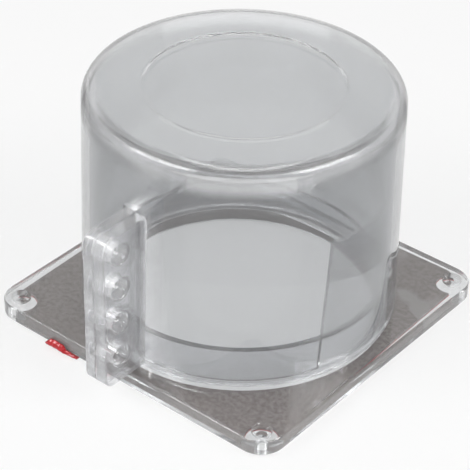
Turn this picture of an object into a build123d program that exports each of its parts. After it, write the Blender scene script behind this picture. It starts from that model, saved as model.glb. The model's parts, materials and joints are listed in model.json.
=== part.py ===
import os

from build123d import *

os.makedirs("parts", exist_ok=True)

# Driving dimensions, in millimetres and degrees.
# The origin is on the cover's axis, at the underside of the plate; +Z is up and the hasp points along -Y.

# Mounting plate
plateMargin = 5.25
plateCornerRadius = 8.25
plateThickness = 5.0
plateEdgeRound = 0.8
buttonHoleRadius = 43.8
buttonHoleChamfer = 1.8

# Corner screws
screwInset = 6.25
screwHoleRadius = 1.7
counterboreRadius = 3.1
counterboreDepth = 2.0

# Collar and guard wall
collarThickness = 1.8
collarHeight = 11.0
collarLipRound = 0.5
guardSetback = 1.4
guardThickness = 1.2
guardClearance = 0.325
guardHeight = 46.5
guardStartAngle = -20.5
guardEndAngle = 40.0
guardLean = 2.7
guardTopRound = 0.5

# Lift-off cover; its radius follows from the button opening and what nests between the two
coverDraft = 1.2
coverHeight = 75.8
coverWall = 2.5
lidThickness = 2.7
rimFillet = 4.0
lidRecessRadius = 30.6
lidRecessDepth = 0.4
seatGap = 0.1

# Padlock hasp
leafThickness = 4.0
leafGap = 0.3
leafWidth = 17.0
leafTop = 54.5
leafFoot = 1.2
leafCornerRadius = 4.0
leafEdgeRound = 0.6
leafSlotClearance = 0.5
padlockHoleRadius = 3.5
padlockHoleChamfer = 0.6
padlockHoleCount = 4
padlockHolePitch = 12.15
padlockHoleFirst = 10.9
padlockHoleMargin = 7.0

# Foam pad, release liner and its folded tab; the pad is stuck on by hand, a little off centre and turned
padInset = 2.25
padOffsetX = -1.0
padOffsetY = 0.6
padTurn = 1.2
padThickness = 0.8
padUnderlap = 1.5
padCornerRadius = 8.0
screwRelief = 5.0
linerThickness = 0.15
tabLength = 13.5
tabHeight = 3.5
tabThickness = 0.4
tabGap = 0.3
tabUnderlap = 2.0
tabFromCorner = 23.0
tabCrumple = 1.1
tabFolds = 5

# Sizes that follow from the driving dimensions
plateTop = plateThickness
collarOuterRadius = buttonHoleRadius + collarThickness
rimHeight = plateTop + coverHeight - rimFillet
coverFoot = plateTop + seatGap
draftAtGuardTop = coverDraft * (plateTop + guardHeight - coverFoot) / (rimHeight - coverFoot)
guardInnerRadius = buttonHoleRadius + guardSetback
guardOuterRadius = guardInnerRadius + guardThickness
coverRadius = guardOuterRadius + guardClearance + draftAtGuardTop + coverWall
coverTopRadius = coverRadius - coverDraft
plateSide = 2 * (coverRadius + plateMargin)
tabStart = tabFromCorner - plateSide / 2
padSide = plateSide - 2 * padInset
padHoleRadius = coverRadius - padUnderlap
screwOffset = plateSide / 2 - screwInset
slotWidth = leafThickness + leafGap / 2 + leafSlotClearance
slotDepth = 6 * coverWall
leafTopZ = plateTop + leafTop
leafReach = coverRadius + leafWidth
padlockHoleReach = leafReach - padlockHoleMargin


def save(shape, node):
    shape.label = node
    export_step(shape, f"parts/{node}.step")
    print(node, round(shape.volume, 1))


def disc(radius, low, high):
    return Pos(0, 0, low) * extrude(Circle(radius), high - low)


def cornerPoints():
    return [(x, y) for x in (-screwOffset, screwOffset) for y in (-screwOffset, screwOffset)]


# Mounting plate: a rounded square with four counterbored screw holes and a large button opening, which is
# chamfered on the underside
def makePlate():
    outline = RectangleRounded(plateSide, plateSide, plateCornerRadius)
    plate = extrude(outline, plateThickness)
    plate = fillet(plate.edges().group_by(Axis.Z)[-1], plateEdgeRound)
    plate -= disc(buttonHoleRadius, -1, plateTop + 1)
    mouthRadius = buttonHoleRadius + buttonHoleChamfer
    plate -= Solid.make_cone(mouthRadius, buttonHoleRadius, buttonHoleChamfer)
    for x, y in cornerPoints():
        plate -= Pos(x, y, 0) * disc(screwHoleRadius, -1, plateTop + 1)
        plate -= Pos(x, y, 0) * disc(counterboreRadius, plateTop - counterboreDepth, plateTop + 1)
    return plate


# Guard wall: a thin, tall tongue that stands behind the cover wall, with both ends leaning inwards
def makeGuard():
    section = Pos(guardInnerRadius + guardThickness / 2, 0) * Rectangle(guardThickness, guardHeight)
    profile = Plane.XZ * (Pos(0, plateTop + guardHeight / 2) * section)
    wall = Rot(0, 0, guardStartAngle) * revolve(profile, Axis.Z, guardEndAngle - guardStartAngle)
    wall = fillet(wall.edges().group_by(Axis.Z)[-1].filter_by(GeomType.CIRCLE), guardTopRound)
    facing = Plane(origin=(0, 0, plateTop), x_dir=(0, 1, 0), z_dir=(1, 0, 0))
    wedge = Polygon((0, 0), (guardLean, guardHeight), (-guardLean, guardHeight), align=None)
    for angle in (guardStartAngle, guardEndAngle):
        wall -= Rot(0, 0, angle) * extrude(facing * wedge, coverRadius)
    return wall


# Collar: a low ring round the button opening, which locates the cover and is let back for the guard wall
def makeCollar(guard):
    ring = disc(collarOuterRadius, plateTop, plateTop + collarHeight)
    ring -= disc(buttonHoleRadius, plateTop - 1, plateTop + collarHeight + 1)
    ring = fillet(ring.edges().group_by(Axis.Z)[-1], collarLipRound)
    return ring - guard


def leafProfile(reachFrom):
    width = leafReach - reachFrom
    height = leafTop - leafFoot
    outline = Pos(-(reachFrom + width / 2), plateTop + leafFoot + height / 2) * Rectangle(width, height)
    outer = outline.vertices().group_by(Axis.X)[0]
    return fillet(outer, leafCornerRadius)


def padlockHoles():
    return [plateTop + padlockHoleFirst + i * padlockHolePitch for i in range(padlockHoleCount)]


# One hasp leaf: a flat plate with four padlock holes, chamfered on its outer face
def makeLeaf(side, reachFrom):
    inner = side * leafGap / 2
    outer = side * (leafThickness + leafGap / 2)
    leaf = extrude(Plane.YZ.offset(min(inner, outer)) * leafProfile(reachFrom), leafThickness)
    rim = leaf.faces().sort_by(Axis.X)[-1 if side > 0 else 0].edges()
    rim = rim.filter_by(lambda edge: edge.center().Y < -coverRadius - leafEdgeRound)
    leaf = fillet(rim, leafEdgeRound)
    for z in padlockHoles():
        bore = Plane.YZ * (Pos(-padlockHoleReach, z) * Circle(padlockHoleRadius))
        leaf -= extrude(bore, outer * 2)
        mouth = Plane(origin=(outer, -padlockHoleReach, z), z_dir=(-side, 0, 0))
        mouthRadius = padlockHoleRadius + padlockHoleChamfer
        leaf -= Solid.make_cone(mouthRadius, padlockHoleRadius, padlockHoleChamfer, mouth)
    return leaf


# Fixed hasp leaf: rooted on the collar and the plate, and passing out through the slot in the cover wall
def makeBaseLeaf():
    leaf = makeLeaf(-1, buttonHoleRadius)
    footWidth = plateSide / 2 - buttonHoleRadius - plateEdgeRound
    footCentre = -(buttonHoleRadius + footWidth / 2)
    foot = Pos(-(leafThickness + leafGap) / 2, footCentre, plateTop + leafFoot / 2)
    leaf += foot * Box(leafThickness, footWidth, leafFoot)
    return leaf - disc(collarOuterRadius, plateTop - 1, leafTopZ + 1)


def coverOutside():
    cone = Solid.make_cone(coverRadius, coverTopRadius, rimHeight - coverFoot, Plane.XY.offset(coverFoot))
    return Part() + cone


# Moving hasp leaf: joined to the outside of the cover wall beside the slot
def makeCoverLeaf():
    return makeLeaf(1, coverTopRadius - coverWall / 2) - coverOutside()


# Cover wall: a tube with a slight draft and a slot, open at the foot, for the fixed leaf
def makeCoverWall():
    height = rimHeight - coverFoot
    bottom = Plane.XY.offset(coverFoot)
    inside = Solid.make_cone(coverRadius - coverWall, coverTopRadius - coverWall, height, bottom)
    wall = coverOutside() - inside
    slotTop = leafTopZ + leafSlotClearance
    slot = Pos(-slotWidth / 2, -coverRadius, (coverFoot + slotTop) / 2)
    return wall - slot * Box(slotWidth, slotDepth, slotTop - coverFoot)


# Lid: a rounded rim and a flat top with a shallow round recess
def makeLid():
    rimInner = rimFillet - coverWall
    innerRadius = coverTopRadius - coverWall
    ceiling = plateTop + coverHeight - lidThickness
    top = plateTop + coverHeight
    with BuildSketch(Plane.XZ) as section:
        with BuildLine():
            Line((0, top), (coverTopRadius - rimFillet, top))
            TangentArc((coverTopRadius - rimFillet, top), (coverTopRadius, rimHeight), tangent=(1, 0))
            Line((coverTopRadius, rimHeight), (innerRadius, rimHeight))
            TangentArc((innerRadius, rimHeight), (innerRadius - rimInner, ceiling), tangent=(0, 1))
            Line((innerRadius - rimInner, ceiling), (0, ceiling))
            Line((0, ceiling), (0, top))
        make_face()
    lid = revolve(section.sketch, Axis.Z)
    return lid - disc(lidRecessRadius, top - lidRecessDepth, top + 1)


# Foam pad and liner share one outline: inset from the plate, open over the button and round the screws
def padOutline():
    sheet = RectangleRounded(padSide, padSide, padCornerRadius)
    outline = Pos(padOffsetX, padOffsetY) * Rot(0, 0, padTurn) * sheet - Circle(padHoleRadius)
    for x, y in cornerPoints():
        outline -= Pos(x, y) * Circle(screwRelief)
    return outline


def makePad():
    return Pos(0, 0, -padThickness) * extrude(padOutline(), padThickness)


def makeLiner():
    return Pos(0, 0, -padThickness - linerThickness) * extrude(padOutline(), linerThickness)


# Liner tab: the red film runs out under the plate's left-front edge, then folds up crumpled against it
def makeTab():
    step = tabLength / tabFolds
    inner = [(tabStart + i * step, -tabCrumple * (i % 2)) for i in range(tabFolds + 1)]
    outer = [(x, y - tabThickness) for x, y in inner]
    strip = Polygon(*outer, *reversed(inner), align=None)
    low = -padThickness - linerThickness
    edge = -plateSide / 2 - tabGap
    upright = Pos(0, edge, low) * extrude(strip, tabHeight)
    runOuter = edge - tabCrumple
    runInner = padOffsetY - padSide / 2 + tabUnderlap
    run = Pos(tabStart + tabLength / 2, (runOuter + runInner) / 2, low + tabThickness / 2)
    run *= Box(tabLength, runInner - runOuter, tabThickness)
    run -= Pos(0, 0, low) * extrude(padOutline(), -low)
    return upright + run


guardWall = makeGuard()
save(makePlate(), "base_plate")
save(makeCollar(guardWall), "base_collar")
save(guardWall, "guard_wall")
save(makeBaseLeaf(), "base_hasp_leaf")
save(makeCoverWall(), "cover_wall")
save(makeLid(), "cover_lid")
save(makeCoverLeaf(), "cover_hasp_leaf")
save(makePad(), "adhesive_pad")
save(makeLiner(), "release_liner")
save(makeTab(), "liner_tab")
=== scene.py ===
import json
import math

import bmesh
import bpy
from mathutils import Matrix, Vector, noise


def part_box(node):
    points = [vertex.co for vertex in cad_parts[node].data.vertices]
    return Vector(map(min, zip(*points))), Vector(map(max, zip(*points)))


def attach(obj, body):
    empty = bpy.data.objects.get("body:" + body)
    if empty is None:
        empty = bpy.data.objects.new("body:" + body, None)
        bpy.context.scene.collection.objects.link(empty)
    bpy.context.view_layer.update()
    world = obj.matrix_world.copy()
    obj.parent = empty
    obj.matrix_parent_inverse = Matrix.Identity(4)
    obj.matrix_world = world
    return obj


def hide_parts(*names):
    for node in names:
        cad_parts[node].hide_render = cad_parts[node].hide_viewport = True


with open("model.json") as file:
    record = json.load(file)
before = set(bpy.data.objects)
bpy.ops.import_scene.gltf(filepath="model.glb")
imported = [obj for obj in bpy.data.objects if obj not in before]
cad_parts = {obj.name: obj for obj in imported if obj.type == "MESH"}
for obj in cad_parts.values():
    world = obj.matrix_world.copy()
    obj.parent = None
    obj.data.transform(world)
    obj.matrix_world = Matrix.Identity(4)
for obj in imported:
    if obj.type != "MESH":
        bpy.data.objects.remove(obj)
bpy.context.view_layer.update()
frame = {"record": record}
mm = 0.001

# corners that the frame already knows
plateLow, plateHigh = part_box("base_plate")
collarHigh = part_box("base_collar")[1]
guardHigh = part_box("guard_wall")[1]
wallLow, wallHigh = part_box("cover_wall")
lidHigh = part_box("cover_lid")[1]
baseLeafLow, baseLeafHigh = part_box("base_hasp_leaf")
coverLeafLow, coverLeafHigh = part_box("cover_hasp_leaf")
padLow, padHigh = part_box("adhesive_pad")
linerLow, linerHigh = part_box("release_liner")
tabLow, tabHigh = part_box("liner_tab")

# holes that the record already knows
mounts = {mount["name"]: mount for mount in frame["record"]["mounts"]}
padlockMounts = [mount for name, mount in sorted(mounts.items()) if name.startswith("padlock_hole")]
padlockPlaces = [mount["pos_m"][1:] for mount in padlockMounts]
padlockRadius = padlockMounts[0]["dims"]["r_mm"] * mm
screwDims = mounts["corner_screws"]["dims"]
screwOffset = screwDims["spacing_x_mm"] * mm / 2
screwPlaces = [(x, y) for x in (-screwOffset, screwOffset) for y in (-screwOffset, screwOffset)]

lidRingRadius = 30.6 * mm  # edge of the shallow recess in the lid
overcut = 1.0 * mm  # how far a cutter runs past what it cuts
ringSides = 256  # round the cover, the collar and the button opening
holeSides = 48  # round a screw or padlock hole
weldGap = 1e-7  # points nearer than this become one, in metres
flatArea = 1e-14  # faces smaller than this are dropped, in square metres
white, black = (1, 1, 1, 1), (0, 0, 0, 1)
print("frame loaded")


def addObject(name, bm):
    bmesh.ops.recalc_face_normals(bm, faces=bm.faces[:])
    mesh = bpy.data.meshes.new(name)
    bm.to_mesh(mesh)
    bm.free()
    obj = bpy.data.objects.new(name, mesh)
    bpy.context.scene.collection.objects.link(obj)
    return obj


# points round a centre, from one angle to another in degrees
def arc(centre, radius, start, end, steps=5):
    points = []
    for i in range(steps + 1):
        angle = math.radians(start + (end - start) * i / steps)
        points.append((centre[0] + radius * math.cos(angle), centre[1] + radius * math.sin(angle)))
    return points


def rectangle(left, right, low, high):
    return [(left, low), (right, low), (right, high), (left, high)]


def roundedSquare(half, radius, steps=12):
    points = []
    for sx, sy, start in ((1, 1, 0), (-1, 1, 90), (-1, -1, 180), (1, -1, 270)):
        points += arc((sx * (half - radius), sy * (half - radius)), radius, start, start + 90, steps)
    return points


# a rounded edge from its vertical side to its flat top, as (inset, drop) pairs
def edgeSteps(radius, steps=6):
    angles = [math.radians(90 * i / steps) for i in range(steps + 1)]
    return [(radius * (1 - math.cos(angle)), radius * (1 - math.sin(angle))) for angle in angles]


# a closed profile of (radius, height) turned round Z
def turned(name, profile, sides):
    bm = bmesh.new()
    rings = []
    for i in range(sides):
        angle = 2 * math.pi * i / sides
        rings.append([bm.verts.new((r * math.cos(angle), r * math.sin(angle), z)) for r, z in profile])
    for here, there in zip(rings, rings[1:] + rings[:1]):
        for j in range(len(profile)):
            k = (j + 1) % len(profile)
            bm.faces.new((here[j], there[j], there[k], here[k]))
    bmesh.ops.remove_doubles(bm, verts=bm.verts[:], dist=weldGap)
    flat = [face for face in bm.faces if face.calc_area() < flatArea]
    bmesh.ops.delete(bm, geom=flat, context="FACES")
    return addObject(name, bm)


# layers is a list of outlines, each a list of 3-D points, from one end to the other
def stacked(name, layers):
    bm = bmesh.new()
    rings = [[bm.verts.new(point) for point in layer] for layer in layers]
    for low, high in zip(rings, rings[1:]):
        for j in range(len(low)):
            k = (j + 1) % len(low)
            bm.faces.new((low[j], low[k], high[k], high[j]))
    bm.faces.new(rings[0][::-1])
    bm.faces.new(rings[-1])
    return addObject(name, bm)


# an outline of (x, y) raised through a list of heights
def prism(name, outline, heights):
    return stacked(name, [[(x, y, z) for x, y in outline] for z in heights])


# joins or cuts the target with a tool, which is used up
def combine(target, tool, operation):
    modifier = target.modifiers.new("combine", "BOOLEAN")
    modifier.operation = operation
    modifier.solver = "EXACT"
    modifier.object = tool
    graph = bpy.context.evaluated_depsgraph_get()
    result = bpy.data.meshes.new_from_object(target.evaluated_get(graph))
    target.modifiers.clear()
    target.data = result
    bpy.data.objects.remove(tool)


def finishMesh(obj, sharpDegrees=38):
    obj.data.shade_smooth()
    obj.data.set_sharp_from_angle(angle=math.radians(sharpDegrees))
    weighted = obj.modifiers.new("weighted", "WEIGHTED_NORMAL")
    weighted.keep_sharp = True


# the second material goes on the faces that the test picks out by their middle and normal
def dress(obj, materials, isSide):
    for material in materials:
        obj.data.materials.append(material)
    for face in obj.data.polygons:
        face.material_index = int(isSide(face.center, face.normal))


# a socket that takes part in plain arithmetic
class Value:
    def __init__(self, tree, socket):
        self.tree = tree
        self.socket = socket

    def join(self, operation, first, second):
        node = self.tree.nodes.new("ShaderNodeMath")
        node.operation = operation
        for slot, item in zip(node.inputs, (first, second)):
            if isinstance(item, Value):
                self.tree.links.new(item.socket, slot)
            else:
                slot.default_value = item
        return Value(self.tree, node.outputs[0])

    def __add__(self, other):
        return self.join("ADD", self, other)

    def __sub__(self, other):
        return self.join("SUBTRACT", self, other)

    def __rsub__(self, other):
        return self.join("SUBTRACT", other, self)

    def __mul__(self, other):
        return self.join("MULTIPLY", self, other)

    def most(self, limit):
        return self.join("MINIMUM", self, limit)

    __radd__ = __add__
    __rmul__ = __mul__


# the nodes of a material or of the world
class Nodes:
    def __init__(self, owner):
        owner.use_nodes = True
        self.tree = owner.node_tree

    def value(self, socket):
        return Value(self.tree, socket)

    # the item is a value, another node's output, or a plain number or colour
    def feed(self, slot, item):
        source = item.socket if isinstance(item, Value) else item
        if isinstance(source, bpy.types.NodeSocket):
            self.tree.links.new(source, slot)
        else:
            slot.default_value = source

    def node(self, kind, settings=None, inputs=None):
        made = self.tree.nodes.new(kind)
        for key, item in (settings or {}).items():
            if key == "stops":
                for stop, (position, colour) in zip(made.color_ramp.elements, item):
                    stop.position = position
                    stop.color = colour
            else:
                setattr(made, key, item)
        for key, item in (inputs or {}).items():
            self.feed(made.inputs[key], item)
        return made


# a principled material whose patterns are fixed to the object
class Finish(Nodes):
    def __init__(self, name):
        self.material = bpy.data.materials.new(name)
        super().__init__(self.material)
        self.shader = self.tree.nodes["Principled BSDF"]
        self.place = self.node("ShaderNodeTexCoord").outputs["Object"]

    def set(self, **sockets):
        for name, item in sockets.items():
            self.feed(self.shader.inputs[name.replace("_", " ")], item)

    def axis(self, name):
        return self.value(self.node("ShaderNodeSeparateXYZ", None, {0: self.place}).outputs[name])

    def grain(self, scale, detail=3.0):
        inputs = {"Vector": self.place, "Scale": scale, "Detail": detail}
        return self.value(self.node("ShaderNodeTexNoise", None, inputs).outputs[0])

    def ramp(self, value, stops):
        return self.node("ShaderNodeValToRGB", {"stops": stops}, {"Fac": value}).outputs["Color"]

    # 0 at the first limit and 1 at the second, smooth between them
    def fade(self, value, start, end):
        settings = {"interpolation_type": "SMOOTHSTEP"}
        inputs = {"Value": value, "From Min": start, "From Max": end}
        return self.value(self.node("ShaderNodeMapRange", settings, inputs).outputs[0])

    # the node's sockets 6 and 7 take the colours, and its output 2 gives the mixed one
    def mix(self, factor, first, second):
        inputs = {0: factor, 6: first, 7: second}
        return self.node("ShaderNodeMix", {"data_type": "RGBA"}, inputs).outputs[2]

    def bump(self, height, strength, distance):
        inputs = {"Height": height, "Strength": strength, "Distance": distance}
        self.set(Normal=self.node("ShaderNodeBump", None, inputs).outputs[0])


# clear moulded plastic with a smoky grey cast, spread as painted light and shade: deepest in the cover's
# wall, as painted shade that darkens what shows through it, lighter in lid and plate, and palest in rim,
# foot, collar, guard and leaves, as painted light where they would come out too dark; the thin shares let
# light straight through, which lightens what would come out too dark, and the narrow side faces are less
# polished
clearLook = {
    "shadedWallTint": (0.565, 0.575, 0.585, 1.0),
    "litLidTint": (0.76, 0.77, 0.778, 1.0),
    "plateTint": (0.735, 0.745, 0.75, 1.0),
    "paintedLightTint": (0.855, 0.86, 0.875, 1.0),
    "leafFade": (-2.4 * mm, 0.0),  # out from the wall's foot
    "rimFade": (5.2 * mm, 3.6 * mm),  # in from the lid's edge
    "rimDrop": (6.0 * mm, 1.0 * mm),  # down from the wall's top
    "footFade": (1.6 * mm, 0.8 * mm),  # up from the wall's foot
    "ringFade": 0.9 * mm,  # to each side of the recess's edge
    "guardFade": (-30.0 * mm, -25.0 * mm),  # along Y, clear of the leaf
    "fixedLeafFade": (-46.0 * mm, -47.5 * mm),  # along Y, clear of the collar
    "softness": 0.4 * mm,  # to each side of a change in height
    "thin": 0.03,
    "rimThin": 0.48,
    "ringThin": 0.2,
    "footThin": 0.4,
    "leafThin": 0.22,
    "guardThin": 0.42,
    "ior": 1.5,
    "polished": {"clear": 0.95, "roughness": 0.004, "spread": 0.016},
    "plain": {"clear": 0.8, "roughness": 0.07, "spread": 0.04},
    "polishScale": 60.0,
    "rimRoughness": 0.05,
    "waveScale": 28.0,
    "waveDetail": 1.0,
    "waveStrength": 0.25,
    "waveHeight": 0.12 * mm,
}


def clearPlastic(name, polish):
    finish = Finish(name)
    finish.polish = finish.grain(clearLook["polishScale"]) * polish["spread"] + polish["roughness"]
    finish.set(IOR=clearLook["ior"], Transmission_Weight=polish["clear"], Roughness=finish.polish)
    wave = finish.grain(clearLook["waveScale"], clearLook["waveDetail"])
    finish.bump(wave, clearLook["waveStrength"], clearLook["waveHeight"])
    return finish


# 0 below a level and 1 above it
def above(finish, height, level):
    return finish.fade(height, level - clearLook["softness"], level + clearLook["softness"])


def basePlastic(name, polish):
    look, finish = clearLook, clearPlastic(name, polish)
    height, reach = finish.axis("Z"), finish.axis("Y")
    upright = above(finish, height, plateHigh.z)
    guard = above(finish, height, collarHigh.z) * finish.fade(reach, *look["guardFade"])
    leaf = upright * finish.fade(reach, *look["fixedLeafFade"])
    thin = guard * look["guardThin"] + leaf * look["leafThin"] + look["thin"]
    # painted light: the collar, guard and fixed leaf, which stand above the plate, take the pale tint and
    # come out lighter
    finish.set(Base_Color=finish.mix(upright, look["plateTint"], look["paintedLightTint"]))
    finish.set(Alpha=1 - thin.most(1.0))
    return finish.material


def coverPlastic(name, polish):
    look, finish = clearLook, clearPlastic(name, polish)
    across, reach, height = finish.axis("X"), finish.axis("Y"), finish.axis("Z")
    radius2 = across * across + reach * reach
    lid = above(finish, height, wallHigh.z)
    leaf = finish.fade(reach, *(-wallHigh.x - out for out in look["leafFade"]))
    foot = finish.fade(height, *(wallLow.z + up for up in look["footFade"]))
    rim = finish.fade(height, *(wallHigh.z - down for down in look["rimDrop"]))
    rim *= finish.fade(radius2, *((lidHigh.x - inward) ** 2 for inward in look["rimFade"]))
    inner2, middle2, outer2 = ((lidRingRadius + side * look["ringFade"]) ** 2 for side in (-1, 0, 1))
    ring = lid * finish.fade(radius2, inner2, middle2) * (1 - finish.fade(radius2, middle2, outer2))
    thin = rim * look["rimThin"] + ring * look["ringThin"] + foot * look["footThin"]
    thin = thin + leaf * look["leafThin"] + look["thin"]
    # painted shade and light: the wall's deeper tint darkens what shows through it, and the lid's lighter
    # tint lightens it
    tint = finish.mix(lid, look["shadedWallTint"], look["litLidTint"])
    # painted light: the rim, the foot and the moving leaf take the pale tint so they come out lighter
    pale = (leaf + rim + foot).most(1.0)
    finish.set(Base_Color=finish.mix(pale, tint, look["paintedLightTint"]))
    finish.set(Alpha=1 - thin.most(1.0), Roughness=finish.polish + rim * look["rimRoughness"])
    return finish.material


# the faces are polished and the narrow sides are plain
def bothPolishes(make, name):
    return [make(name, clearLook["polished"]), make(name + "Side", clearLook["plain"])]


# grey-brown foam tape, darker where it has wetted the plate and paler where air is trapped
tapeLook = {
    "wetted": (0.165, 0.14, 0.13, 1.0),
    "mottle": (0.235, 0.209, 0.198, 1.0),
    "trapped": (0.3, 0.282, 0.272, 1.0),
    "mottleScale": 700.0,
    "mottleDetail": 6.0,
    "mottleFade": (0.36, 0.64),
    "airScale": 46.0,
    "airDetail": 2.0,
    "airFade": (0.60, 0.64),
    "roughness": 0.75,
    "poreScale": 900.0,
    "poreDetail": 4.0,
    "poreStrength": 0.4,
    "poreDepth": 0.1 * mm,
}


def foamTape():
    look, finish = tapeLook, Finish("foamTape")
    spots = finish.fade(finish.grain(look["mottleScale"], look["mottleDetail"]), *look["mottleFade"])
    mottled = finish.mix(spots, look["wetted"], look["mottle"])
    pockets = finish.grain(look["airScale"], look["airDetail"])
    air = finish.ramp(pockets, zip(look["airFade"], (black, white)))
    finish.set(Base_Color=finish.mix(air, mottled, look["trapped"]), Roughness=look["roughness"])
    pores = finish.grain(look["poreScale"], look["poreDetail"])
    finish.bump(pores, look["poreStrength"], look["poreDepth"])
    return finish.material


# thin red liner film, glossy, with soft creases; its red is painted darker in the crease hollows and
# lighter on the ridges, as painted shade and painted highlight
filmLook = {
    "deep": (0.38, 0.001, 0.005, 1.0),
    "bright": (0.66, 0.004, 0.012, 1.0),
    "creaseScale": 150.0,
    "creaseStrength": 0.5,
    "creaseDepth": 0.4 * mm,
    "polishScale": 300.0,
    "roughness": 0.18,
    "spread": 0.15,
}


def linerFilm():
    look, finish = filmLook, Finish("linerFilm")
    creases = finish.grain(look["creaseScale"])
    # painted shade and highlight: the red darkens and brightens with the same noise that raises the creases
    finish.set(Base_Color=finish.mix(creases, look["deep"], look["bright"]))
    finish.set(Roughness=finish.grain(look["polishScale"]) * look["spread"] + look["roughness"])
    finish.bump(creases, look["creaseStrength"], look["creaseDepth"])
    return finish.material


baseMaterials = bothPolishes(basePlastic, "clearBase")
coverMaterials = bothPolishes(coverPlastic, "clearCover")
tapeMaterial = foamTape()
filmMaterial = linerFilm()
print("materials made")


# one hasp leaf, standing in the YZ plane
leafShape = {
    "corner": 4.0 * mm,
    "cornerSteps": 8,
    "edge": 0.6 * mm,
    "innerEdge": 0.3 * mm,
    "holeRim": 0.75 * mm,
    "holeRimSteps": 6,
    "polishedRim": 1.125 * mm,  # out from a padlock hole
    "faceSlope": 0.9,  # a face's normal has more than this along X
}


# drawn in by the inset, with the two outer corners round
def leafOutline(outer, inner, low, high, inset):
    corner, steps = leafShape["corner"] - inset, leafShape["cornerSteps"]
    y, bottom, top = outer + inset + corner, low + inset, high - inset
    points = [(inner, bottom)] + arc((y, bottom + corner), corner, 270, 180, steps)
    return points + arc((y, top - corner), corner, 180, 90, steps) + [(inner, top)]


def makeLeaf(name, outerFace, innerFace, outer, inner, low, high):
    shape = leafShape
    side = 1 if outerFace > innerFace else -1
    innerRound, outerRound = edgeSteps(shape["innerEdge"], steps=3), edgeSteps(shape["edge"])
    levels = [(inset, innerFace + side * drop) for inset, drop in reversed(innerRound)]
    levels += [(inset, outerFace - side * drop) for inset, drop in outerRound]
    layers = [[(x, y, z) for y, z in leafOutline(outer, inner, low, high, inset)] for inset, x in levels]
    leaf = stacked(name, layers)
    radius, rim, reach = padlockRadius, shape["holeRim"], abs(outerFace)
    profile = [(0, -overcut), (radius, -overcut)]
    profile += arc((radius + rim, reach - rim), rim, 180, 90, shape["holeRimSteps"])
    profile += [(radius + rim, reach + overcut), (0, reach + overcut)]
    for y, z in padlockPlaces:
        cutter = turned("cutter", profile, holeSides)
        cutter.data.transform(Matrix.Translation((0, y, z)) @ Matrix.Rotation(side * math.pi / 2, 4, "Y"))
        combine(leaf, cutter, "DIFFERENCE")
    return leaf


# a leaf's narrow edges; its faces and the padlock holes stay polished
def leafEdge(middle, normal):
    if middle.y > -wallHigh.x - leafShape["edge"] or abs(normal.x) > leafShape["faceSlope"]:
        return False
    reach = padlockRadius + leafShape["polishedRim"]
    return all(math.hypot(middle.y - y, middle.z - z) > reach for y, z in padlockPlaces)


# base moulding: plate, collar, guard wall and fixed leaf in one clear piece
baseShape = {
    "hole": 43.8 * mm,
    "holeChamfer": 1.8 * mm,
    "plateCorner": 8.25 * mm,
    "plateEdge": 0.8 * mm,
    "plateUnderEdge": 0.25 * mm,
    "collarOuter": 45.6 * mm,
    "collarLip": 0.5 * mm,
    "collarRoot": 0.5 * mm,
    "guardInner": 45.2 * mm,
    "guardOuter": 46.4 * mm,
    "guardStart": -20.5,
    "guardEnd": 40.0,
    "guardLean": 2.7 * mm,
    "guardSteps": 48,
    "guardNose": 0.6 * mm,
    "guardNoseThin": 0.9,  # share of its thickness that the guard loses at each end
    "guardTop": 0.5 * mm,
    "counterbore": 3.1 * mm,
    "counterboreDepth": 2.0 * mm,
    "overlap": 0.6 * mm,  # how far joined solids reach into each other
    "plateSideSlope": 0.7,  # a side's normal has less than this along Z
    "guardEndSlope": 0.4,  # an end's normal has more than this round the axis
}


def makePlate():
    shape = baseShape
    underRound, topRound = edgeSteps(shape["plateUnderEdge"], steps=3), edgeSteps(shape["plateEdge"])
    levels = [(inset, plateLow.z + drop) for inset, drop in reversed(underRound)]
    levels += [(inset, plateHigh.z - drop) for inset, drop in topRound]
    layers = []
    for inset, z in levels:
        outline = roundedSquare(plateHigh.x - inset, shape["plateCorner"] - inset)
        layers.append([(x, y, z) for x, y in outline])
    return stacked("baseMoulding", layers)


def makeCollar():
    shape = baseShape
    core, outer, root = shape["hole"] - shape["overlap"], shape["collarOuter"], shape["collarRoot"]
    bottom = plateHigh.z - shape["overlap"]
    profile = [(core, bottom), (outer + root, bottom)]
    profile += arc((outer + root, plateHigh.z + root), root, 270, 180)
    profile += [(outer - inset, collarHigh.z - drop) for inset, drop in edgeSteps(shape["collarLip"])]
    return turned("collar", profile + [(core, collarHigh.z)], ringSides)


# the guard wall's two ends lean towards each other as it rises
def makeGuard():
    shape = baseShape
    inner, outer, top, high = shape["guardInner"], shape["guardOuter"], plateHigh.z, guardHigh.z
    rounding = edgeSteps(shape["guardTop"])
    section = [(inner, top - shape["overlap"]), (outer, top - shape["overlap"])]
    section += [(outer - inset, high - drop) for inset, drop in rounding]
    section += [(inner + inset, high - drop) for inset, drop in reversed(rounding)]
    # the wall thins to a round nose at each end
    span, middle = math.radians(shape["guardEnd"] - shape["guardStart"]), (inner + outer) / 2
    nose = []
    for inset, drop in edgeSteps(shape["guardNose"]):
        nose.append((inset / outer / span, 1 - shape["guardNoseThin"] * drop / shape["guardNose"]))
    plain = [(i / shape["guardSteps"], 1.0) for i in range(1, shape["guardSteps"])]
    layers = []
    for share, thick in nose + plain + [(1 - share, thick) for share, thick in reversed(nose)]:
        layer = []
        for radius, z in section:
            lean = math.degrees(shape["guardLean"] * max(0, z - top) / (high - top) / outer)
            start, end = shape["guardStart"] + lean, shape["guardEnd"] - lean
            angle, across = math.radians(start + (end - start) * share), middle + (radius - middle) * thick
            layer.append((across * math.cos(angle), across * math.sin(angle), z))
        layers.append(layer)
    return stacked("guard", layers)


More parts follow.
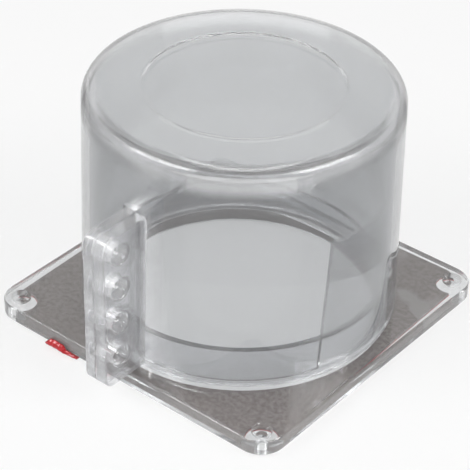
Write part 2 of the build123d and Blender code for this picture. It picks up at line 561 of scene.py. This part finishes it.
def makeFixedLeaf():
    overlap = baseShape["overlap"]
    inner, outer = overlap - baseShape["collarOuter"], plateLow.y + baseShape["plateEdge"]
    low, high, left, right = coverLeafLow.z, baseLeafHigh.z, baseLeafLow.x, baseLeafHigh.x
    leaf = makeLeaf("fixedLeaf", left, right, baseLeafLow.y, inner, low, high)
    foot = prism("foot", rectangle(left, right, outer, inner), (plateHigh.z - overlap, low + overlap))
    combine(leaf, foot, "UNION")
    return leaf


def screwCutter():
    low, top = plateLow.z - overcut, plateHigh.z + overcut
    hole, head = screwDims["hole_r_mm"] * mm, baseShape["counterbore"]
    seat = plateHigh.z - baseShape["counterboreDepth"]
    profile = [(0, low), (hole, low), (hole, seat), (head, seat), (head, top), (0, top)]
    return turned("screwHole", profile, holeSides)


# the plate's screw holes stay polished
def outsideHoles(middle):
    reach = baseShape["counterbore"] + baseShape["plateEdge"]
    return all(math.hypot(middle.x - x, middle.y - y) > reach for x, y in screwPlaces)


# the plate's four sides, the guard wall's two ends and the narrow edges of the fixed leaf
def baseSide(middle, normal):
    edge = plateHigh.x - baseShape["plateEdge"] / 2 - baseShape["plateCorner"]
    nearEdge = middle.z < plateHigh.z and max(abs(middle.x), abs(middle.y)) > edge
    plateSide = nearEdge and abs(normal.z) < baseShape["plateSideSlope"] and outsideHoles(middle)
    around = abs(middle.x * normal.y - middle.y * normal.x) / math.hypot(middle.x, middle.y)
    guardEnd = middle.z > plateHigh.z and middle.x > 0 and around > baseShape["guardEndSlope"]
    return plateSide or guardEnd or leafEdge(middle, normal)


def makeBase():
    base = makePlate()
    for made in (makeCollar(), makeGuard(), makeFixedLeaf()):
        combine(base, made, "UNION")
    hole, chamfer = baseShape["hole"], baseShape["holeChamfer"]
    low, high = plateLow.z - overcut, collarHigh.z + overcut
    mouth = (hole + chamfer + overcut, low)
    bore = [(0, low), mouth, (hole, plateLow.z + chamfer), (hole, high), (0, high)]
    combine(base, turned("bore", bore, ringSides), "DIFFERENCE")
    for x, y in screwPlaces:
        cutter = screwCutter()
        cutter.data.transform(Matrix.Translation((x, y, 0)))
        combine(base, cutter, "DIFFERENCE")
    finishMesh(base)
    dress(base, baseMaterials, baseSide)
    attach(base, "base")
    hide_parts("base_plate", "base_collar", "guard_wall", "base_hasp_leaf")


# cover moulding: wall, rounded rim, lid with its shallow recess, and the moving leaf
coverShape = {
    "wall": 2.5 * mm,
    "lid": 2.7 * mm,
    "rim": 4.0 * mm,
    "rimSteps": 18,
    "innerRimSteps": 8,
    "recessDepth": 0.4 * mm,
    "recessRound": 2.0 * mm,
    "footRound": 0.25 * mm,
    "slotSide": 4.65 * mm,
    "slotClearance": 0.5 * mm,
    "embed": 1.2 * mm,  # how far the leaf reaches into the wall
    "web": 1.3 * mm,
    "webSteps": 8,
    "webRoot": 1.0 * mm,
    "webOverlap": 0.3 * mm,
}


def makeShell():
    shape = coverShape
    foot, top, outer, inner = wallLow.z, lidHigh.z, wallHigh.x, wallHigh.x - shape["wall"]
    ceiling, floor = top - shape["lid"], top - shape["recessDepth"]
    rim, rimCentre, footRound = shape["rim"], (lidHigh.x - shape["rim"], wallHigh.z), shape["footRound"]
    innerRim = arc(rimCentre, rim - shape["wall"], 90, 0, shape["innerRimSteps"])
    profile = [(0, ceiling)] + [(x, z) for x, z in innerRim if z <= ceiling]
    profile += arc((inner + footRound, foot + footRound), footRound, 180, 270)
    profile += arc((outer - footRound, foot + footRound), footRound, 270, 360)
    profile += arc(rimCentre, rim, 0, 90, shape["rimSteps"])
    # the step down into the recess is two soft arcs
    soft = shape["recessRound"]
    bend = math.acos(1 - shape["recessDepth"] / 2 / soft)
    run, turn = soft * math.sin(bend), math.degrees(bend)
    profile += arc((lidRingRadius + run, top - soft), soft, 90, 90 + turn)
    profile += arc((lidRingRadius - run, floor + soft), soft, turn - 90, -90)
    return turned("coverMoulding", profile + [(0, floor)], ringSides)


def slotCutter():
    left, outer = -coverShape["slotSide"], -wallHigh.x - overcut
    inner = -wallHigh.x + coverShape["wall"] + 2 * overcut
    top = baseLeafHigh.z + coverShape["slotClearance"]
    return prism("slot", rectangle(left, 0, outer, inner), (wallLow.z - overcut, top))


# soft inside corner between the moving leaf's face and the round wall
def makeWeb():
    web, face, back = coverShape["web"], coverLeafHigh.x, coverLeafHigh.x - coverShape["webOverlap"]
    surface = -math.sqrt(lidHigh.x ** 2 - (face + web) ** 2)
    inside = surface + coverShape["webRoot"]
    outline = [(back, inside), (back, surface - web)]
    outline += arc((face + web, surface - web), web, 180, 90, coverShape["webSteps"])
    heights = (coverLeafLow.z + leafShape["edge"], coverLeafHigh.z - leafShape["edge"])
    return prism("web", outline + [(face + web, inside)], heights)


def makeCover():
    cover = makeShell()
    combine(cover, slotCutter(), "DIFFERENCE")
    inner = -(lidHigh.x - coverShape["embed"])
    low, high = coverLeafLow.z, coverLeafHigh.z
    leaf = makeLeaf("movingLeaf", coverLeafHigh.x, coverLeafLow.x, coverLeafLow.y, inner, low, high)
    combine(cover, leaf, "UNION")
    combine(cover, makeWeb(), "UNION")
    finishMesh(cover)
    dress(cover, coverMaterials, leafEdge)
    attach(cover, "cover")
    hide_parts("cover_wall", "cover_lid", "cover_hasp_leaf")


# foam pad and the liner under it share one outline, stuck on a little off centre and turned
padShape = {
    "hole": 48.5 * mm,
    "corner": 8.0 * mm,
    "relief": 5.0 * mm,
    "sides": 192,  # round each opening
    "turn": 1.2,
    "wetIn": 0.02 * mm,  # how far the tape reaches into the plate
    "linerOut": 0.15 * mm,
    "linerAir": 0.01 * mm,
}


# half the side of a turned rounded square that just fills the node's box
def padHalf():
    turn, corner = math.radians(padShape["turn"]), padShape["corner"]
    straight = padHigh.x - padLow.x - 2 * corner
    return straight / (math.cos(turn) + math.sin(turn)) / 2 + corner


def makeSheet(name, low, high, grow):
    sheet = prism(name, roundedSquare(padHalf() + grow, padShape["corner"] + grow), (low, high))
    centre = (padLow + padHigh) / 2
    sheet.data.transform(Matrix.Rotation(math.radians(padShape["turn"]), 4, "Z"))
    sheet.data.transform(Matrix.Translation((centre.x, centre.y, 0)))
    cuts = [((0, 0), padShape["hole"])] + [(place, padShape["relief"] - grow) for place in screwPlaces]
    for (x, y), radius in cuts:
        cutter = turned("cutter", rectangle(0, radius, low - overcut, high + overcut), padShape["sides"])
        cutter.data.transform(Matrix.Translation((x, y, 0)))
        combine(sheet, cutter, "DIFFERENCE")
    finishMesh(sheet)
    return sheet


def makePad():
    pad = makeSheet("foamPad", padLow.z, padHigh.z + padShape["wetIn"], 0)
    pad.data.materials.append(tapeMaterial)
    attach(pad, "base")
    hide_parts("adhesive_pad")


def makeLiner():
    liner = makeSheet("releaseLiner", linerLow.z, linerHigh.z - padShape["linerAir"], padShape["linerOut"])
    liner.data.materials.append(filmMaterial)
    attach(liner, "base")
    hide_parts("release_liner")


# the end of the film: out under the plate edge, then curled up against it and crumpled
tabShape = {
    "thickness": 0.12 * mm,
    "columns": 72,
    "rows": 34,
    "rises": ((0.0, 0.4), (0.14, 0.9), (0.35, 1.0), (0.57, 0.92), (0.7, 0.45), (1.0, 0.2)),
    "under": 0.4,  # share of the rows that lie under the plate
    "plateGap": 0.3 * mm,
    "bulge": 0.6,  # share of the curl's height
    "curlEnd": 78.0,
    "margin": 0.12 * mm,
    "slant": 1.6 * mm,
    "crumple": 0.28 * mm,
    "creaseSize": 2.3 * mm,
    "creasePush": 1.5,  # share of the crumple that a crease pushes out
    "fineScale": 2.6,  # how many times smaller the fine creases are
    "fineStart": 9.0 * mm,  # keeps the fine creases from following the others
    "finePush": 0.5,
    "pull": 0.4,  # share drawn back again over the whole film
}


# height of the curl at a share of the tab's length, with soft changes between the stated ones
def tabRise(share):
    for (before, low), (after, high) in zip(tabShape["rises"], tabShape["rises"][1:]):
        if share <= after:
            step = (share - before) / (after - before)
            return low + (high - low) * step * step * (3 - 2 * step)
    return tabShape["rises"][-1][1]


def tabPoint(share, along):
    shape = tabShape
    margin, under, wall = shape["margin"], shape["under"], plateLow.y - shape["plateGap"]
    run, full = tabHigh.y - wall, tabHigh.z - tabLow.z - 2 * margin
    rise = full * tabRise(share)
    x = tabLow.x + margin + (tabHigh.x - tabLow.x - 2 * margin) * share
    if along < under:
        return Vector((x, tabHigh.y - run * along / under, tabLow.z + margin))
    bulge = min(wall - tabLow.y - margin, shape["bulge"] * rise)
    turn = math.radians(-90 + (shape["curlEnd"] + 90) * (along - under) / (1 - under))
    up = (1 + math.sin(turn)) / 2
    x += shape["slant"] * up * (1 - share) ** 2
    point = Vector((x, wall - bulge * math.cos(turn), tabLow.z + margin + rise * up))
    crease = noise.noise(Vector((x, up * full, 0)) / shape["creaseSize"])
    finePlace = Vector((x, up * full, shape["fineStart"])) / shape["creaseSize"] * shape["fineScale"]
    fine = noise.noise(finePlace)
    push = shape["creasePush"] * abs(crease) + shape["finePush"] * abs(fine) - shape["pull"]
    point.y += shape["crumple"] * push * math.cos(turn)
    point.z += shape["crumple"] * fine * up
    point.y = min(max(point.y, tabLow.y + margin), wall)
    point.z = min(max(point.z, tabLow.z + margin), tabHigh.z - margin)
    return point


def makeTab():
    bm = bmesh.new()
    columns, rows = tabShape["columns"], tabShape["rows"]
    grid = []
    for i in range(columns + 1):
        grid.append([bm.verts.new(tabPoint(i / columns, j / rows)) for j in range(rows + 1)])
    for i in range(columns):
        for j in range(rows):
            bm.faces.new((grid[i][j], grid[i + 1][j], grid[i + 1][j + 1], grid[i][j + 1]))
    tab = addObject("linerTab", bm)
    film = tab.modifiers.new("film", "SOLIDIFY")
    film.thickness = tabShape["thickness"]
    film.offset = 0
    tab.data.shade_smooth()
    tab.data.materials.append(filmMaterial)
    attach(tab, "base")
    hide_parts("liner_tab")


makeBase()
print("base moulding made")
makeCover()
print("cover moulding made")
makePad()
makeLiner()
makeTab()
print("pad, liner and tab made")


# pale floor, and five softboxes: the first two, one each side of the camera, light the object; the other
# three light no matt surface and make highlights, one from behind on the lid and one beside each of the two
studio = {
    "floorSize": 4.0,
    "floorGap": 0.05 * mm,
    "floorPaper": {"Base Color": (0.96, 0.96, 0.96, 1.0), "Roughness": 0.9, "Specular IOR Level": 0.0},
    "floorWhite": 0.7,  # share of white that shows over the floor's own light
    "softboxes": (
        {"turn": 12.6, "height": 45.0, "away": 1.1, "size": (0.75, 0.35), "power": 4.4, "diffuse": True},
        {"turn": -115.4, "height": 45.0, "away": 1.1, "size": (0.75, 0.35), "power": 4.4, "diffuse": True},
        {"turn": 128.6, "height": 36.0, "away": 1.1, "size": (1.6, 1.0), "power": 2.0, "diffuse": False},
        {"turn": 12.6, "height": 44.0, "away": 1.0, "size": (0.65, 0.45), "power": 7.0, "diffuse": False},
        {"turn": -115.4, "height": 44.0, "away": 1.0, "size": (0.65, 0.45), "power": 7.0, "diffuse": False},
    ),
    "world": {"Color": white, "Strength": 0.45},
    "worldWhite": 1.0,
}


# the camera, a reflection and a view through the plastic see this share of white; light keeps its own level
def whiteToCamera(nodes, shader, output, share, lamp):
    rays = nodes.node("ShaderNodeLightPath").outputs
    shown = ("Is Camera Ray", "Is Glossy Ray", "Is Transmission Ray")
    direct, glossy, through = (nodes.value(rays[name]) for name in shown)
    seen = (direct + glossy + through).most(1.0) * share
    glow = nodes.node(lamp, None, {"Color": white, "Strength": 1.0})
    mixed = nodes.node("ShaderNodeMixShader", None, {0: seen, 1: shader.outputs[0], 2: glow.outputs[0]})
    nodes.feed(nodes.tree.nodes[output].inputs["Surface"], mixed.outputs[0])


def makeFloor():
    height = linerLow.z - studio["floorGap"]
    bpy.ops.mesh.primitive_plane_add(size=studio["floorSize"], location=(0, 0, height))
    floor = bpy.context.object
    floor.name = "floor"
    paper = bpy.data.materials.new("floorPaper")
    nodes = Nodes(paper)
    shader = nodes.tree.nodes["Principled BSDF"]
    for name, item in studio["floorPaper"].items():
        nodes.feed(shader.inputs[name], item)
    whiteToCamera(nodes, shader, "Material Output", studio["floorWhite"], "ShaderNodeEmission")
    floor.data.materials.append(paper)


def makeSoftbox(number, box):
    turn, height = math.radians(box["turn"]), math.radians(box["height"])
    flat = math.cos(height) * box["away"]
    place = Vector((math.cos(turn) * flat, math.sin(turn) * flat, math.sin(height) * box["away"]))
    lamp = bpy.data.lights.new(f"softbox{number}", "AREA")
    lamp.shape = "RECTANGLE"
    lamp.size, lamp.size_y = box["size"]
    lamp.energy = box["power"]
    obj = bpy.data.objects.new(f"softbox{number}", lamp)
    obj.location = place
    obj.rotation_euler = (-place).to_track_quat("-Z", "Y").to_euler()
    obj.visible_diffuse = box["diffuse"]
    bpy.context.scene.collection.objects.link(obj)


def makeWorld():
    world = bpy.data.worlds.new("studio")
    nodes = Nodes(world)
    background = nodes.tree.nodes["Background"]
    for name, item in studio["world"].items():
        nodes.feed(background.inputs[name], item)
    whiteToCamera(nodes, background, "World Output", studio["worldWhite"], "ShaderNodeBackground")
    bpy.context.scene.world = world


# the photograph's viewpoint: target, turn, height and roll, with the focal length in pixels of its frame
view = {
    "framePixels": 470,
    "focalPixels": 1919.0,
    "distance": 0.5859,
    "turn": 38.586,
    "height": 35.294,
    "roll": 1.572,
    "target": (7.2 * mm, -11.7 * mm, 35.0 * mm),
    "sensor": 36.0,
}


def makeCamera():
    turn, height, roll = (math.radians(view[key]) for key in ("turn", "height", "roll"))
    back = Vector((math.sin(turn) * math.cos(height), -math.cos(turn) * math.cos(height), math.sin(height)))
    right = (-back).cross(Vector((0, 0, 1))).normalized()
    up = right.cross(-back)
    rolledRight = right * math.cos(roll) + up * math.sin(roll)
    rolledUp = up * math.cos(roll) - right * math.sin(roll)
    data = bpy.data.cameras.new("camera")
    data.sensor_width = view["sensor"]
    data.lens = view["focalPixels"] / view["framePixels"] * view["sensor"]
    camera = bpy.data.objects.new("camera", data)
    axes = Matrix((rolledRight, rolledUp, back)).transposed().to_4x4()
    camera.matrix_world = Matrix.Translation(Vector(view["target"]) + back * view["distance"]) @ axes
    bpy.context.scene.collection.objects.link(camera)
    bpy.context.scene.camera = camera


makeFloor()
for number, box in enumerate(studio["softboxes"]):
    makeSoftbox(number, box)
makeWorld()
makeCamera()
bpy.context.scene.view_settings.view_transform = "Standard"
print("studio and camera made")
